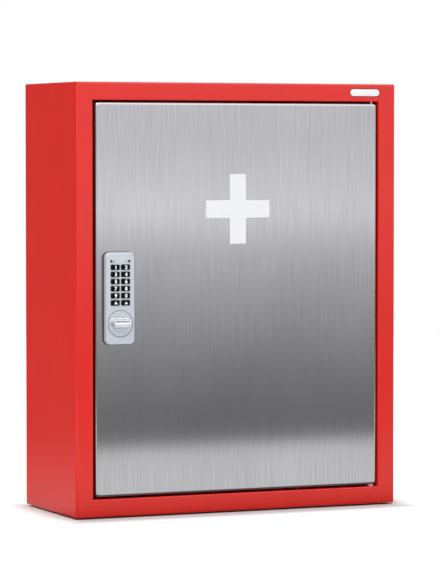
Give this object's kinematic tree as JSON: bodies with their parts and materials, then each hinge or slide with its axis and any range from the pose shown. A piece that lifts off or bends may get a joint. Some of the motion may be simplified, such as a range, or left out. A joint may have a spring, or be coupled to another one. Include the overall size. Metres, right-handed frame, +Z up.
{
  "type": "lockable medicine cabinet",
  "caption": "Wall-mounted steel medicine cabinet with an inset stainless door on pivot pins, a keypad lock with turning knob and cam, and clipped shelves.",
  "frame": {"origin": "on the wall plane, at the centre of the four wall screw holes", "axes": "+X to the right as seen from the front, +Y into the wall, +Z up; the door faces -Y"},
  "size_m": [0.4, 0.1771, 0.49],
  "materials": {
    "red_powder_coat": "powder coated, fine texture",
    "brushed_stainless": "brushed up and down",
    "zinc_plate": "bright zinc plated",
    "grey_shelf_paint": "powder coated",
    "silver_lacquer": "satin silver lacquer on die-cast metal",
    "grey_plastic": "moulded",
    "black_key_plastic": "semi-gloss",
    "black_rubber": "matt",
    "ivory_nylon": "moulded",
    "green_board": "solder mask",
    "red_lens": "tinted, clear",
    "green_lens": "tinted, clear",
    "battery_sleeve": "printed sleeve"
  },
  "bodies": {
    "cabinet": {"carcass": "red_powder_coat", "back_panel": "red_powder_coat", "rail_left_front": "red_powder_coat", "rail_left_rear": "red_powder_coat", "rail_right_front": "red_powder_coat", "rail_right_rear": "red_powder_coat", "shelf_clips": "zinc_plate", "shelf_lower": "grey_shelf_paint", "shelf_upper": "grey_shelf_paint", "pivot_bush_top": "ivory_nylon", "pivot_bush_bottom": "ivory_nylon", "door_stops": "red_powder_coat", "door_buffers": "black_rubber"},
    "door": {"door_skin": "brushed_stainless", "door_liner": "brushed_stainless", "door_stiffener": "zinc_plate", "pivot_block_top": "zinc_plate", "pivot_block_bottom": "zinc_plate", "pivot_pin_bottom": "zinc_plate", "pivot_spring": "zinc_plate", "lock_gasket": "black_rubber", "lock_housing": "silver_lacquer", "key_mat": "black_rubber", "circuit_board": "green_board", "lamp_red": "red_lens", "lamp_green": "green_lens", "lock_tube": "zinc_plate", "lock_case": "grey_plastic", "battery_cover": "grey_plastic", "batteries": "battery_sleeve", "battery_lead": "black_rubber", "lock_screws": "zinc_plate"},
    "pivot_pin": {"pivot_pin_top": "zinc_plate", "release_tab": "zinc_plate"},
    "knob": {"knob": "silver_lacquer", "spindle": "zinc_plate", "cam": "zinc_plate", "cam_screw": "zinc_plate"},
    "key_1": {"key_1": "black_key_plastic"},
    "key_2": {"key_2": "black_key_plastic"},
    "key_3": {"key_3": "black_key_plastic"},
    "key_4": {"key_4": "black_key_plastic"},
    "key_5": {"key_5": "black_key_plastic"},
    "key_6": {"key_6": "black_key_plastic"},
    "key_7": {"key_7": "black_key_plastic"},
    "key_8": {"key_8": "black_key_plastic"},
    "key_9": {"key_9": "black_key_plastic"},
    "key_10": {"key_10": "black_key_plastic"},
    "key_11": {"key_11": "black_key_plastic"},
    "key_12": {"key_12": "black_key_plastic"}
  },
  "joints": [
    {"name": "door_swing", "type": "hinge", "parent": "cabinet", "child": "door", "pos_m": [0.1714, -0.154, 0], "axis": [0, 0, 1], "range_deg": [0, 100]},
    {"name": "knob_turn", "type": "hinge", "parent": "door", "child": "knob", "pos_m": [-0.1495, -0.16, -0.0265], "axis": [0, 1, 0], "range_deg": [0, 90]},
    {"name": "pivot_pin_draw", "type": "slide", "parent": "door", "child": "pivot_pin", "axis": [0, 0, -1], "range_m": [0, 0.0065], "stiffness_N_per_m": 400, "springref_m": -0.005, "deforming": ["pivot_spring"]},
    {"name": "key_1_press", "type": "slide", "parent": "door", "child": "key_1", "axis": [0, 1, 0], "range_m": [0, 0.0008], "stiffness_N_per_m": 300, "springref_m": -0.0005},
    {"name": "key_2_press", "type": "slide", "parent": "door", "child": "key_2", "axis": [0, 1, 0], "range_m": [0, 0.0008], "stiffness_N_per_m": 300, "springref_m": -0.0005},
    {"name": "key_3_press", "type": "slide", "parent": "door", "child": "key_3", "axis": [0, 1, 0], "range_m": [0, 0.0008], "stiffness_N_per_m": 300, "springref_m": -0.0005},
    {"name": "key_4_press", "type": "slide", "parent": "door", "child": "key_4", "axis": [0, 1, 0], "range_m": [0, 0.0008], "stiffness_N_per_m": 300, "springref_m": -0.0005},
    {"name": "key_5_press", "type": "slide", "parent": "door", "child": "key_5", "axis": [0, 1, 0], "range_m": [0, 0.0008], "stiffness_N_per_m": 300, "springref_m": -0.0005},
    {"name": "key_6_press", "type": "slide", "parent": "door", "child": "key_6", "axis": [0, 1, 0], "range_m": [0, 0.0008], "stiffness_N_per_m": 300, "springref_m": -0.0005},
    {"name": "key_7_press", "type": "slide", "parent": "door", "child": "key_7", "axis": [0, 1, 0], "range_m": [0, 0.0008], "stiffness_N_per_m": 300, "springref_m": -0.0005},
    {"name": "key_8_press", "type": "slide", "parent": "door", "child": "key_8", "axis": [0, 1, 0], "range_m": [0, 0.0008], "stiffness_N_per_m": 300, "springref_m": -0.0005},
    {"name": "key_9_press", "type": "slide", "parent": "door", "child": "key_9", "axis": [0, 1, 0], "range_m": [0, 0.0008], "stiffness_N_per_m": 300, "springref_m": -0.0005},
    {"name": "key_10_press", "type": "slide", "parent": "door", "child": "key_10", "axis": [0, 1, 0], "range_m": [0, 0.0008], "stiffness_N_per_m": 300, "springref_m": -0.0005},
    {"name": "key_11_press", "type": "slide", "parent": "door", "child": "key_11", "axis": [0, 1, 0], "range_m": [0, 0.0008], "stiffness_N_per_m": 300, "springref_m": -0.0005},
    {"name": "key_12_press", "type": "slide", "parent": "door", "child": "key_12", "axis": [0, 1, 0], "range_m": [0, 0.0008], "stiffness_N_per_m": 300, "springref_m": -0.0005}
  ]
}
